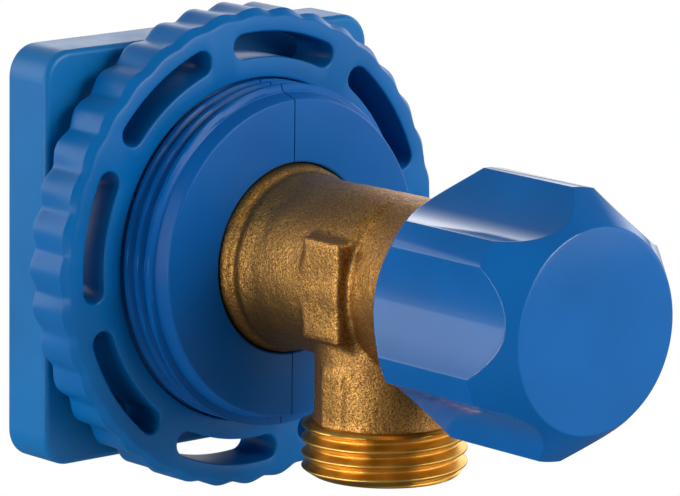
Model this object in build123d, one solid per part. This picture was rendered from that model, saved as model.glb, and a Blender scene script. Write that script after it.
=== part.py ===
from build123d import *
import os
from math import cos, radians, sin

# Angle valve in a split wall bush, sizes in millimetres.
# Y is the axis of the inlet and the knob, with y = 0 at the back of the wall plate and the knob towards -Y.
# Z is up, so the outlet points along -Z. Places along the axis are "forward" distances from the plate's back.

# Clearances
fit_gap = 0.1
loose_gap = 0.3
split_gap = 0.16
running_gap = 0.08

# Wall plate
plate_side = 53.5
plate_depth = 7.4
plate_corner = 4.0
plate_edge = 0.8
plate_wall = 2.3
plate_skin = 2.4

# Ring nut
wall_gap = 2.1
ring_depth = 7.3
ring_inner_wall = 2.475
ring_outer_wall = 2.125
ring_lobe_depth = 0.85
ring_lobes = 36
ring_lobe_share = 0.66
ring_bevel = 1.1
slot_count = 8
slot_width = 3.25
slot_sweep = 29.5
slot_turn = 35.0

# Split hub
hub_reach = 7.4
hub_thread_crest = 22.0
hub_thread_root = 21.1
hub_thread_pitch = 2.06
hub_thread_land = 0.75
hub_nose_length = 2.1
hub_nose_radius = 21.0
hub_face_radius = 20.5
hub_flange_radius = 24.0
hub_flange_flats = 45.2
hub_flange_depth = 3.0
hub_recess_radius = 14.5
hub_recess_depth = 3.5

# Brass body outside
pipe_thread_radius = 20.955 / 2
thread_chamfer = 0.8
inlet_tail = 12.0
inlet_thread_length = 14.0
neck_relief = 9.7
collar_flats = 24.0
collar_back = 8.5
collar_length = 6.0
neck_radius = 10.4
bell_radius = 12.1
bell_length = 10.0
bell_cone = 2.4
bell_hollow = 0.16
bell_mouth_gap = 0.6
tube_radius = 10.95
tube_growth = 0.35
outlet_offset = 17.9
pad_width = 7.1
pad_height = 13.0
pad_face = 11.1
waist_half_width = 9.6
waist_half_height = 11.2
waist_share = 0.4
flare_radius = 12.4
mouth_oval = 0.02
flare_length = 11.4
outlet_drop = 24.4
outlet_collar_length = 6.7
outlet_neck_radius = 8.9
outlet_pad_width = 3.9
outlet_pad_face = 9.15
outlet_pad_length = 7.2

# Brass body inside
inlet_bore = 7.0
outlet_bore = 6.4
chamber_radius = 7.7
seat_offset = 6.9
seat_hole = 4.2
seat_lip_radius = 5.3
seat_lip_height = 0.8
seat_wall = 2.6
socket_thread_radius = 16.662 / 2
socket_depth = 10.0

# Headpart
skirt_radius = 7.4
skirt_length = 1.5
gasket_thickness = 1.2
flange_radius = 11.2
flange_thickness = 1.2
bonnet_flats = 19.0
bonnet_hex_length = 3.8
bonnet_neck_radius = 6.0
bonnet_neck_length = 2.8
guide_length = 8.5
plunger_flats = 11.2
plunger_cup_radius = 6.9
plunger_cup_length = 4.2
plunger_length = 13.6
plunger_bore_depth = 7.2
washer_radius = 6.0
washer_thickness = 3.4
washer_proud = 1.2
screw_head_radius = 3.2
screw_head_height = 1.4
screw_radius = 1.6
screw_length = 6.0
spindle_radius = 4.0
spindle_thread_radius = 3.6
spindle_thread_length = 7.3
spindle_collar_radius = 5.6
spindle_collar_length = 1.1
slide_washer_thickness = 0.8
o_ring_section = 0.55
o_ring_count = 2
o_ring_pitch = 3.0
o_ring_first = 2.6
clip_thickness = 0.8
clip_radius = 5.2
clip_depth = 0.7
clip_opening = 90.0
spline_teeth = 20
spline_depth = 0.45
spline_length = 8.0

# Knob
knob_wall = 1.1
knob_flutes = 6
knob_flute_depth = 3.05
knob_flute_radius = 15.0
knob_turn = 82.0
knob_face_radius = 12.77
knob_cone_length = 5.2
knob_dome = 0.25
knob_length = 23.7
knob_overlap = 0.4
knob_bevel_radial = 1.85
knob_bevel_length = 2.35
knob_front_wall = 2.4
knob_boss_radius = 7.8
knob_rib = 1.4
knob_rib_length = 8.0
insert_wall = 1.5
insert_flange = 1.1
insert_slit = 1.0
insert_slits = 4

# Radii that the sizes above lead to
ring_bore = hub_thread_crest + loose_gap
slot_middle = ring_bore + ring_inner_wall + slot_width / 2
ring_valley = slot_middle + slot_width / 2 + ring_outer_wall
ring_crest = ring_valley + ring_lobe_depth
knob_cavity = flare_radius + loose_gap
knob_flute_floor = knob_cavity + knob_wall
knob_ridge_radius = knob_flute_floor + knob_flute_depth

# Forward stations that the sizes above lead to
ring_back = plate_depth + wall_gap
ring_front = ring_back + ring_depth
hub_front = ring_front + hub_reach
outlet_forward = hub_front + outlet_offset
seat_face = outlet_forward - seat_offset
seat_back = seat_face - seat_lip_height - seat_wall
step_forward = outlet_forward + pad_width / 2
socket_face = step_forward + flare_length
bell_back = hub_front - bell_length / 2
bell_front = hub_front + bell_length / 2
flange_back = socket_face + gasket_thickness
hex_back = flange_back + flange_thickness
neck_back = hex_back + bonnet_hex_length
bonnet_front = neck_back + bonnet_neck_length
bonnet_back = socket_face - socket_depth - skirt_length
guide_front = bonnet_back + guide_length
collar_back_face = guide_front + loose_gap
collar_front_face = collar_back_face + spindle_collar_length
shoulder = collar_front_face + slide_washer_thickness
washer_back = seat_face
cup_back = washer_back + washer_proud
washer_front = washer_back + washer_thickness
plunger_front = cup_back + plunger_length
clip_back = bonnet_front + loose_gap
clip_front = clip_back + clip_thickness
spline_back = clip_front + loose_gap
spline_front = spline_back + spline_length
knob_back = socket_face - knob_overlap
knob_front = knob_back + knob_length
knob_inner_front = knob_front - knob_front_wall
insert_back = spline_back + loose_gap
insert_front = spline_front + loose_gap
bell_bore = bell_radius + bell_mouth_gap


def turned(points):
    """Solid of revolution about Y from (radius, forward) corners."""
    corners = [(radius, -forward) for radius, forward in points]
    return revolve(make_face(Polyline(*corners, close=True)), Axis.Y)


def across(forward):
    """Plane across the axis at a forward distance, facing the knob."""
    return Plane.XZ.offset(forward)


def rod(radius, back, front):
    return extrude(across(back) * Circle(radius), front - back)


def sleeve(outer, inner, back, front):
    return extrude(across(back) * (Circle(outer) - Circle(inner)), front - back)


def hex_bar(flats, back, front, turn=0.0):
    outline = RegularPolygon(flats / 2, 6, major_radius=False, rotation=turn)
    return extrude(across(back) * outline, front - back)


def at(radius, angle):
    """Point on a circle, with the angle in degrees from +X towards +Z."""
    return (radius * cos(radians(angle)), radius * sin(radians(angle)))


def flange_outline(gap):
    """Round flange with flats above and below, which keep the hub from turning in the plate."""
    return Circle(hub_flange_radius + gap) & Rectangle(4 * hub_flange_radius, hub_flange_flats + 2 * gap)


def make_wall_plate():
    plate = extrude(across(0) * RectangleRounded(plate_side, plate_side, plate_corner), plate_depth)
    front_edges = plate.faces().sort_by(Axis.Y)[0].edges()
    plate = fillet(front_edges, plate_edge)
    inner_side = plate_side - 2 * plate_wall
    boss = hub_flange_radius + loose_gap + plate_wall
    pockets = RectangleRounded(inner_side, inner_side, plate_corner - plate_wall / 2) - Circle(boss)
    plate -= extrude(across(0) * pockets, plate_depth - plate_skin)
    plate -= extrude(across(0) * flange_outline(loose_gap), hub_flange_depth)
    return plate - rod(hub_thread_root + loose_gap, 0, plate_depth)


def ring_outline():
    """Closed wavy outline: a wide round lobe and a narrow hollow for each step."""
    step = 360 / ring_lobes
    half = step * ring_lobe_share / 2
    join = ring_valley + (ring_crest - ring_valley) * 0.4
    outline = Curve()
    for lobe in range(ring_lobes):
        middle = lobe * step
        start, end, following = middle - half, middle + half, middle + step - half
        outline += ThreePointArc(at(join, start), at(ring_crest, middle), at(join, end))
        outline += ThreePointArc(at(join, end), at(ring_valley, middle + step / 2), at(join, following))
    return make_face(outline)


def make_ring_nut():
    face = ring_outline() - Circle(ring_bore)
    for slot in range(slot_count):
        middle = slot_turn + slot * 360 / slot_count
        face -= SlotArc(CenterArc((0, 0), slot_middle, middle - slot_sweep / 2, slot_sweep), slot_width)
    ring = extrude(across(ring_back) * face, ring_depth)
    envelope = [
        (0, ring_back),
        (ring_crest, ring_back),
        (ring_crest, ring_front - ring_bevel),
        (ring_crest - ring_bevel, ring_front),
        (0, ring_front),
    ]
    return ring & turned(envelope)


def hub_outline():
    """Half section of the whole hub, with its thread drawn as rings."""
    nose_back = hub_front - hub_nose_length
    flank = (hub_thread_pitch - 2 * hub_thread_land) / 2
    thread_back = plate_depth + loose_gap
    ridges = int((nose_back - thread_back) / hub_thread_pitch)
    points = [(0, 0), (hub_flange_radius, 0), (hub_flange_radius, hub_flange_depth)]
    points.append((hub_thread_root, hub_flange_depth))
    first = nose_back - ridges * hub_thread_pitch
    for ridge in range(ridges):
        foot = first + ridge * hub_thread_pitch
        points.append((hub_thread_root, foot + hub_thread_land))
        points.append((hub_thread_crest, foot + hub_thread_land + flank))
        points.append((hub_thread_crest, foot + 2 * hub_thread_land + flank))
        points.append((hub_thread_root, foot + hub_thread_pitch))
    points += [(hub_nose_radius, nose_back), (hub_face_radius, hub_front), (0, hub_front)]
    return points


def make_hub():
    hub = turned(hub_outline())
    flange_blank = extrude(across(0) * flange_outline(0), hub_flange_depth)
    hub &= flange_blank + rod(hub_thread_crest, hub_flange_depth, hub_front)
    hub -= rod(pipe_thread_radius + loose_gap, 0, hub_front)
    hub -= rod(hub_recess_radius, 0, hub_recess_depth)
    hub -= hex_bar(collar_flats + 2 * fit_gap, collar_back - fit_gap, collar_back + collar_length + fit_gap)
    return hub - rod(bell_bore, bell_back, hub_front)


def make_hub_halves():
    hub = make_hub()
    left = split(hub, bisect_by=Plane.YZ.offset(-split_gap / 2), keep=Keep.BOTTOM)
    right = split(hub, bisect_by=Plane.YZ.offset(split_gap / 2), keep=Keep.TOP)
    return left, right


def body_outline():
    """Outer half section of the casting along the inlet axis, as far as the waist."""
    thread_front = inlet_thread_length - inlet_tail
    corners = [
        (0, -inlet_tail),
        (pipe_thread_radius - thread_chamfer, -inlet_tail),
        (pipe_thread_radius, thread_chamfer - inlet_tail),
        (pipe_thread_radius, thread_front),
        (neck_relief, thread_front),
        (neck_relief, collar_back),
        (neck_radius, collar_back + collar_length),
        (neck_radius, bell_back),
        (bell_radius, bell_back + bell_cone),
        (bell_radius, hub_front),
    ]
    outline = Polyline(*[(radius, -forward) for radius, forward in corners])
    bell_middle = (bell_radius + tube_radius) / 2 - bell_hollow
    bell_rim = (bell_radius, -hub_front)
    bell_foot = (tube_radius, -bell_front)
    outline += ThreePointArc(bell_rim, (bell_middle, -(hub_front + bell_front) / 2), bell_foot)
    tube_end = (tube_radius + tube_growth, -step_forward)
    outline += Polyline(bell_foot, tube_end, (0, -step_forward), (0, inlet_tail))
    return make_face(outline)


def make_flare():
    """Front boss of the casting: an oval waist, narrow at the sides, that opens to a round mouth."""
    middle = step_forward + flare_length / 2
    middle_width = waist_half_width + (flare_radius - waist_half_width) * waist_share
    middle_height = waist_half_height + (flare_radius - waist_half_height) * waist_share
    sections = [
        across(step_forward) * Ellipse(waist_half_width, waist_half_height),
        across(middle) * Ellipse(middle_width, middle_height),
        across(socket_face) * Ellipse(flare_radius - mouth_oval, flare_radius),
    ]
    return loft(sections)


def make_outlet():
    """Neck and threaded collar, pointing down from the body's axis."""
    ground = Plane.XY.offset(-outlet_drop) * Pos(0, -outlet_forward)
    neck = extrude(ground * Circle(outlet_neck_radius), outlet_drop)
    collar = extrude(ground * Circle(pipe_thread_radius), outlet_collar_length)
    rims = collar.edges().filter_by(GeomType.CIRCLE)
    collar = chamfer(rims, thread_chamfer)
    pad_low = -outlet_drop + outlet_collar_length
    pad = Pos(0, -outlet_forward, pad_low + outlet_pad_length / 2) * Box(
        2 * outlet_pad_face, outlet_pad_width, outlet_pad_length
    )
    return neck + collar + pad


def make_body_bores():
    """Inlet passage, seat, chamber, socket and outlet passage as one tool."""
    passage = turned(
        [
            (0, -inlet_tail),
            (inlet_bore, -inlet_tail),
            (inlet_bore, seat_back),
            (seat_hole, seat_back),
            (seat_hole, seat_face),
            (seat_lip_radius, seat_face),
            (seat_lip_radius, seat_face - seat_lip_height),
            (chamber_radius, seat_face - seat_lip_height),
            (chamber_radius, socket_face - socket_depth),
            (socket_thread_radius, socket_face - socket_depth),
            (socket_thread_radius, socket_face),
            (0, socket_face),
        ]
    )
    ground = Plane.XY.offset(-outlet_drop) * Pos(0, -outlet_forward)
    return passage + extrude(ground * Circle(outlet_bore), outlet_drop)


def make_valve_body():
    body = revolve(body_outline(), Axis.Y) + make_flare()
    body += Pos(0, -outlet_forward, 0) * Box(2 * pad_face, pad_width, pad_height)
    body += hex_bar(collar_flats, collar_back, collar_back + collar_length)
    body += make_outlet()
    return body - make_body_bores()


def make_bonnet():
    thread_back = bonnet_back + skirt_length
    thread_radius = socket_thread_radius - fit_gap
    bonnet = turned(
        [
            (0, bonnet_back),
            (skirt_radius, bonnet_back),
            (skirt_radius, thread_back),
            (thread_radius, thread_back),
            (thread_radius, flange_back),
            (flange_radius, flange_back),
            (flange_radius, hex_back),
            (bonnet_neck_radius, hex_back),
            (bonnet_neck_radius, bonnet_front),
            (0, bonnet_front),
        ]
    )
    bonnet += hex_bar(bonnet_flats, hex_back, neck_back)
    bonnet -= hex_bar(plunger_flats + 2 * fit_gap, bonnet_back, guide_front)
    bonnet -= rod(spindle_collar_radius + loose_gap, guide_front, shoulder)
    return bonnet - rod(spindle_radius + running_gap, shoulder, bonnet_front)


def make_bonnet_gasket():
    return sleeve(flange_radius, socket_thread_radius + fit_gap, socket_face, flange_back)


def o_ring_middle(index):
    return shoulder + o_ring_first + index * o_ring_pitch


def make_spindle():
    thread_back = collar_back_face - spindle_thread_length
    spindle = rod(spindle_thread_radius, thread_back, collar_back_face)
    spindle += rod(spindle_collar_radius, collar_back_face, collar_front_face)
    spindle += rod(spindle_radius, collar_front_face, spline_front)
    groove_floor = spindle_radius - 2 * o_ring_section - running_gap / 2
    for index in range(o_ring_count):
        middle = o_ring_middle(index)
        reach = o_ring_section + loose_gap
        spindle -= sleeve(2 * spindle_radius, groove_floor, middle - reach, middle + reach)
    spindle -= sleeve(2 * spindle_radius, spindle_radius - clip_depth, clip_back, clip_front)
    root = spindle_radius - spline_depth
    half = 360 / spline_teeth / 4
    notch = Polyline(at(root, 0), at(2 * spindle_radius, -3 * half), at(2 * spindle_radius, 3 * half), close=True)
    notches = PolarLocations(0, spline_teeth) * make_face(notch)
    return spindle - extrude(across(spline_back) * Sketch(notches), spline_length)


def make_spindle_o_rings():
    ring_middle = spindle_radius - o_ring_section - running_gap / 4
    rings = []
    for index in range(o_ring_count):
        section = Pos(ring_middle, -o_ring_middle(index)) * Circle(o_ring_section)
        rings.append(revolve(section, Axis.Y))
    return Compound(children=rings)


def make_slide_washer():
    return sleeve(spindle_collar_radius, spindle_radius + fit_gap, collar_front_face, shoulder)


def make_retaining_clip():
    clip = Circle(clip_radius) - Circle(spindle_radius - clip_depth + running_gap)
    reach = 2 * clip_radius
    mouth = Polyline((0, 0), at(reach, 90 - clip_opening / 2), at(reach, 90 + clip_opening / 2), close=True)
    clip -= make_face(mouth)
    return extrude(across(clip_back + running_gap) * clip, clip_thickness - 2 * running_gap)


def make_plunger():
    cup_front = cup_back + plunger_cup_length
    plunger = rod(plunger_cup_radius, cup_back, cup_front)
    plunger += hex_bar(plunger_flats, cup_front, plunger_front)
    plunger -= rod(washer_radius + fit_gap, cup_back, washer_front)
    plunger -= rod(screw_radius + fit_gap, washer_front, washer_back + screw_length + fit_gap)
    return plunger - rod(spindle_thread_radius + loose_gap, plunger_front - plunger_bore_depth, plunger_front)


def make_valve_washer():
    return sleeve(washer_radius, screw_radius + fit_gap, washer_back, washer_front)


def make_washer_screw():
    head_back = washer_back - screw_head_height
    screw = rod(screw_radius, head_back, washer_back + screw_length)
    screw += rod(screw_head_radius, head_back, washer_back)
    slot_depth = screw_head_height / 2
    slot = Pos(0, -head_back - slot_depth / 2, 0) * Box(2 * screw_head_radius, slot_depth, screw_radius / 2)
    return screw - slot


def make_snap_insert():
    inner = spindle_radius + fit_gap
    outer = inner + insert_wall
    insert = sleeve(outer, inner, insert_back, insert_front)
    insert += sleeve(outer + insert_flange, inner, insert_back, insert_back + insert_flange)
    slit = Pos(inner + insert_wall, 0) * Rectangle(2 * insert_wall + inner, insert_slit)
    slits = PolarLocations(0, insert_slits) * slit
    slit_back = insert_back + 2 * insert_flange
    return insert - extrude(across(slit_back) * Sketch(slits), insert_front - slit_back)


def knob_outline():
    """Half section of the knob before its flutes are cut: rear bevel, ridge, front cone and domed face."""
    face_rim = knob_front - knob_dome
    cone_back = face_rim - knob_cone_length
    outline = Polyline(
        (0, -knob_back),
        (knob_ridge_radius - knob_bevel_radial, -knob_back),
        (knob_ridge_radius, -knob_back - knob_bevel_length),
        (knob_ridge_radius, -cone_back),
        (knob_face_radius, -face_rim),
    )
    outline += TangentArc((0, -knob_front), (knob_face_radius, -face_rim), tangent=(1, 0))
    outline += Line((0, -knob_front), (0, -knob_back))
    return make_face(outline)


def make_knob():
    knob = revolve(knob_outline(), Axis.Y)
    flute_centre = knob_flute_floor + knob_flute_radius
    first_flute = knob_turn + 180 / knob_flutes
    flutes = PolarLocations(flute_centre, knob_flutes, first_flute) * Circle(knob_flute_radius)
    knob -= extrude(across(knob_back) * Sketch(flutes), knob_length)
    knob -= rod(knob_cavity, knob_back, knob_inner_front)
    boss_bore = spindle_radius + fit_gap + insert_wall + fit_gap
    boss_back = insert_back + insert_flange
    knob += sleeve(knob_boss_radius, boss_bore, boss_back, knob_inner_front)
    rib_back = knob_inner_front - knob_rib_length
    rib_inner = (knob_boss_radius + boss_bore) / 2
    rib_span = knob_cavity + knob_rib - rib_inner
    rib = Pos(rib_inner + rib_span / 2, 0) * Rectangle(rib_span, knob_rib)
    ribs = PolarLocations(0, knob_flutes, knob_turn) * rib
    return knob + extrude(across(rib_back) * Sketch(ribs), knob_rib_length)


hub_left, hub_right = make_hub_halves()
pieces = {
    "wall_plate": make_wall_plate(),
    "ring_nut": make_ring_nut(),
    "hub_half_left": hub_left,
    "hub_half_right": hub_right,
    "valve_body": make_valve_body(),
    "bonnet": make_bonnet(),
    "bonnet_gasket": make_bonnet_gasket(),
    "spindle": make_spindle(),
    "spindle_o_rings": make_spindle_o_rings(),
    "slide_washer": make_slide_washer(),
    "retaining_clip": make_retaining_clip(),
    "plunger": make_plunger(),
    "valve_washer": make_valve_washer(),
    "washer_screw": make_washer_screw(),
    "snap_insert": make_snap_insert(),
    "knob": make_knob(),
}

os.makedirs("parts", exist_ok=True)
for name, piece in pieces.items():
    export_step(piece, f"parts/{name}.step")
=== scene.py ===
"""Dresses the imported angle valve: blue mouldings, cast brass with cut threads, a studio and a camera."""

import logging
import math
from dataclasses import dataclass, field
from enum import Enum
from typing import Callable, Sequence

import bmesh
import bpy
import numpy as np
from bmesh.types import BMEdge, BMesh, BMFace, BMVert
from bpy.types import Material, Node, NodeSocket as Socket, NodeTree, Object, Scene
from mathutils import Matrix, Vector


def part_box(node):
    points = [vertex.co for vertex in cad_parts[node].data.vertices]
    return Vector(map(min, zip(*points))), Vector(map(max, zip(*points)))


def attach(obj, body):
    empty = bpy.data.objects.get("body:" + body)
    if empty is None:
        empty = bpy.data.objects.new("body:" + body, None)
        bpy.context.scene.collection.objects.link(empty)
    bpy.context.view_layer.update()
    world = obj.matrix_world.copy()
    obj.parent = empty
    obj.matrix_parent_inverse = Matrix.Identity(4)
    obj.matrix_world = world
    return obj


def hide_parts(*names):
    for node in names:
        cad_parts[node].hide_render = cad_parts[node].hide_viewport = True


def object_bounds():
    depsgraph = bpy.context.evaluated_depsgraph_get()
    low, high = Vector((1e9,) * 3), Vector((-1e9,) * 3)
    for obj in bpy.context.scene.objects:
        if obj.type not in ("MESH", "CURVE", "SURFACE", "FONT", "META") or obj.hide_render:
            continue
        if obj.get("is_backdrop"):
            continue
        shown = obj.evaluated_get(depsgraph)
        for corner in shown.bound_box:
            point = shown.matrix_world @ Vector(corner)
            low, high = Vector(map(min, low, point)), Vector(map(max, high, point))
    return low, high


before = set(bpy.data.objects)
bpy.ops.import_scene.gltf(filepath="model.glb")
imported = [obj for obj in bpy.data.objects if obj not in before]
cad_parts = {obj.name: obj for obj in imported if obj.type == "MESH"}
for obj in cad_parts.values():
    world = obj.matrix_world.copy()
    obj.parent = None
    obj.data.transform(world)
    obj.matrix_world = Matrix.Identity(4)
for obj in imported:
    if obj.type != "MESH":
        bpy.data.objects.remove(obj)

LOG = logging.getLogger("angle_valve")
IMAGE_WIDTH = 680
MM = 0.001

# Lengths in millimetres: how near points are joined, how near to its axis an outline ends, and the least
# radius that anything is divided by.
WELD = 1e-4
FINE_WELD = 1e-5
NEAR_AXIS = 1e-4
LEAST_RADIUS = 1e-6

# Crease angle, in degrees, of a piece without a sharp edge.
ALL_SMOOTH = 180.0

# The lathe frame has its axis along Z, which is the forward direction: towards the knob, -Y in the row frame.
LATHE_TO_ROW = Matrix(((1, 0, 0, 0), (0, 0, -1, 0), (0, 1, 0, 0), (0, 0, 0, 1)))

Number = float | Socket
Limit = Callable[[Socket, Socket, Socket, Socket], Socket]
Pair = tuple[float, float]
Triple = tuple[float, float, float]


class Body(Enum):
    """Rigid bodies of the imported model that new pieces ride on."""

    VALVE = "valve"
    HANDLE = "handle"
    RING = "ring"


class TreeWriter:
    """Writes nodes into a tree, linking sockets and setting plain numbers as defaults."""

    def __init__(self, tree: NodeTree) -> None:
        """Keeps the tree to write into."""
        self.tree = tree

    def node(self, kind: str, **settings: object) -> Node:
        """Adds one node.

        Args:
            kind: Blender's name of the node type.
            **settings: Properties to set on it.

        Returns:
            The new node.
        """
        made = self.tree.nodes.new(kind)
        for key, value in settings.items():
            setattr(made, key, value)
        return made

    def feed(self, target: Socket, value: object) -> None:
        """Links a socket to the target, or sets a plain value on it.

        Args:
            target: An input of one of the tree's nodes.
            value: A socket, or what the input is set to.
        """
        if isinstance(value, Socket):
            self.tree.links.new(value, target)
        else:
            target.default_value = value

    def math(self, operation: str, *values: Number) -> Socket:
        """Adds a Math node.

        Args:
            operation: The Math node's operation.
            *values: Its inputs, in order.

        Returns:
            The node's output.
        """
        made = self.node("ShaderNodeMath", operation=operation)
        for target, value in zip(made.inputs, values):
            self.feed(target, value)
        return made.outputs[0]

    def spread(
        self, value: Socket, low: Number, high: Number, start: float = 0.3, end: float = 0.7
    ) -> Socket:
        """Maps one range, which is a noise pattern's usual one if none is given, onto another.

        Args:
            value: What is mapped.
            low: Result at the start of the range.
            high: Result at its end.
            start: Where the range starts.
            end: Where it ends.

        Returns:
            The result.
        """
        made = self.node("ShaderNodeMapRange")
        for target, number in zip(made.inputs, (value, start, end, low, high)):
            self.feed(target, number)
        return made.outputs[0]


class ShapeTree(TreeWriter):
    """Geometry Nodes tree that takes a mesh, moves its points by a rule and sets its material."""

    def __init__(self, name: str) -> None:
        """Starts a tree with one mesh input and one mesh output."""
        super().__init__(bpy.data.node_groups.new(name, "GeometryNodeTree"))
        self.declare("Mesh", "Geometry")
        self.declare("Mesh", "Geometry", "OUTPUT")
        self.entry = self.node("NodeGroupInput")
        self.exit = self.node("NodeGroupOutput")
        self.values: dict[str, object] = {}

    def declare(self, name: str, kind: str, way: str = "INPUT") -> None:
        """Adds a socket of a kind to the tree's own inputs or outputs."""
        self.tree.interface.new_socket(name, in_out=way, socket_type=f"NodeSocket{kind}")

    def number(self, name: str, value: float) -> Socket:
        """Adds a named input.

        Args:
            name: The input's name.
            value: What this piece sets it to.

        Returns:
            The input's socket inside the tree.
        """
        self.declare(name, "Float")
        self.values[name] = value
        return self.entry.outputs[name]

    def position(self) -> tuple[Socket, Socket, Socket]:
        """Returns the X, Y and Z of each point."""
        parts = self.node("ShaderNodeSeparateXYZ")
        self.feed(parts.inputs[0], self.node("GeometryNodeInputPosition").outputs[0])
        return parts.outputs[0], parts.outputs[1], parts.outputs[2]

    def radius_of(self, x: Socket, y: Socket) -> Socket:
        """Returns the distance from the axis that is square to both."""
        return self.math("SQRT", self.math("ADD", self.math("MULTIPLY", x, x), self.math("MULTIPLY", y, y)))

    def move_radially(self, limit: Limit, soft: float) -> None:
        """Draws each point in to a limiting radius, with a soft edge where the limit takes over.

        Args:
            limit: Gives the limiting radius from X, Y, Z and the point's own radius.
            soft: Width of the soft edge, in millimetres.
        """
        x, y, z = self.position()
        radius = self.radius_of(x, y)
        softness = self.number("Edge softness", soft)
        held = self.math("SMOOTH_MIN", radius, limit(x, y, z, radius), softness)
        scale = self.math("DIVIDE", held, self.math("MAXIMUM", radius, LEAST_RADIUS))
        place = self.node("ShaderNodeCombineXYZ")
        moved = (self.math("MULTIPLY", x, scale), self.math("MULTIPLY", y, scale), z)
        for target, value in zip(place.inputs, moved):
            self.feed(target, value)
        self.close("Position", place.outputs[0])

    def close(self, way: str, value: Socket) -> None:
        """Ends the tree: moves the points, realizes instances and sets the material.

        Args:
            way: The Set Position node's input, Position or Offset.
            value: What that input gets.
        """
        moved = self.node("GeometryNodeSetPosition")
        self.feed(moved.inputs["Geometry"], self.entry.outputs["Mesh"])
        self.feed(moved.inputs[way], value)
        real = self.node("GeometryNodeRealizeInstances")
        self.feed(real.inputs[0], moved.outputs["Geometry"])
        self.declare("Finish", "Material")
        dressed = self.node("GeometryNodeSetMaterial")
        self.feed(dressed.inputs["Geometry"], real.outputs[0])
        self.feed(dressed.inputs["Material"], self.entry.outputs["Finish"])
        self.feed(self.exit.inputs["Mesh"], dressed.outputs[0])

    def run(self, obj: Object, finish: Material) -> None:
        """Applies the tree to an object for good.

        Args:
            obj: The object, whose mesh becomes the tree's result.
            finish: The material that the tree sets.
        """
        values = {**self.values, "Finish": finish}
        modifier = obj.modifiers.new(self.tree.name, "NODES")
        modifier.node_group = self.tree
        for item in self.tree.interface.items_tree:
            if item.in_out == "INPUT" and item.name in values:
                modifier[item.identifier] = values[item.name]
        settle(obj)


@dataclass(frozen=True)
class FluteForm:
    """Evenly spaced round flutes along an axis, with ridges between them.

    Attributes:
        count: Number of flutes.
        floor: Distance of each flute's floor from the axis.
        radius: Radius of a flute.
        turn: Angle of one ridge, in degrees.
        soft: Width of the soft edge.
    """

    count: int
    floor: float
    radius: float
    turn: float
    soft: float


class FluteTree(ShapeTree):
    """Cuts flutes into a turned shape."""

    def __init__(self, form: FluteForm) -> None:
        """Builds the tree for flutes of one form."""
        super().__init__("knob_flutes")
        reach = self.number("Flute centre", form.floor + form.radius)
        wide = self.number("Flute radius", form.radius)
        start = self.number("Ridge angle", math.radians(form.turn))
        step = 2 * math.pi / form.count

        def limit(x: Socket, y: Socket, z: Socket, radius: Socket) -> Socket:
            """Returns the radius at which the nearest flute is met."""
            angle = self.math("SUBTRACT", self.math("ARCTAN2", y, x), start)
            across = self.math("SUBTRACT", self.math("WRAP", angle, step, 0.0), step / 2)
            along = self.math("MULTIPLY", reach, self.math("COSINE", across))
            aside = self.math("MULTIPLY", reach, self.math("SINE", across))
            square = self.math("MULTIPLY", wide, wide)
            room = self.math("SUBTRACT", square, self.math("MULTIPLY", aside, aside))
            return self.math("SUBTRACT", along, self.math("SQRT", self.math("MAXIMUM", room, 0.0)))

        self.move_radially(limit, form.soft)


@dataclass(frozen=True)
class LobeForm:
    """Round lobes along a ring's rim, which grow shallower towards the front.

    Attributes:
        count: Number of lobes.
        depth: Depth of the hollows at the back.
        fullness: Below 1 for wide lobes and narrow hollows.
        start: Radius at which the wave begins on the face.
        end: Radius at which it has its full depth.
        front_share: Share of the depth that is left at the front.
    """

    count: int
    depth: float
    fullness: float
    start: float
    end: float
    front_share: float


class LobeTree(ShapeTree):
    """Waves the rim of a ring into round lobes, with its rounded front edge carried along."""

    def __init__(self, form: LobeForm, back: float, front: float) -> None:
        """Builds the tree.

        Args:
            form: The lobes' form.
            back: Forward place of the rim's back.
            front: Forward place of its front.
        """
        super().__init__("lobed_rim")
        deep = self.number("Hollow depth", form.depth)
        shape = self.number("Fullness", form.fullness)
        left = self.number("Front share", form.front_share)

        def limit(x: Socket, y: Socket, z: Socket, radius: Socket) -> Socket:
            """Returns the point's radius, drawn in by its share of the wave."""
            angle = self.math("MULTIPLY", self.math("ARCTAN2", y, x), float(form.count))
            wave = self.math("MULTIPLY_ADD", self.math("COSINE", angle), 0.5, 0.5)
            sunk = self.math("SUBTRACT", 1.0, self.math("POWER", wave, shape))
            outward = self.math("MULTIPLY", deep, self.spread(radius, 0.0, 1.0, form.start, form.end))
            reach = self.math("MULTIPLY", outward, self.spread(z, 1.0, left, back, front))
            return self.math("SUBTRACT", radius, self.math("MULTIPLY", sunk, reach))

        self.move_radially(limit, 0.0)


@dataclass(frozen=True)
class ThreadForm:
    """A right-hand screw thread.

    Attributes:
        major: Radius over the crests.
        depth: Height of the thread.
        pitch: Advance for each turn.
        flat_share: Share of the pitch that the crest's flat takes up, and the root's.
        soft: Width of the soft edge.
        crest_round: Rounding of the crests, as a share of the height.
    """

    major: float
    depth: float
    pitch: float
    flat_share: float
    soft: float
    crest_round: float = 0.25


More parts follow.
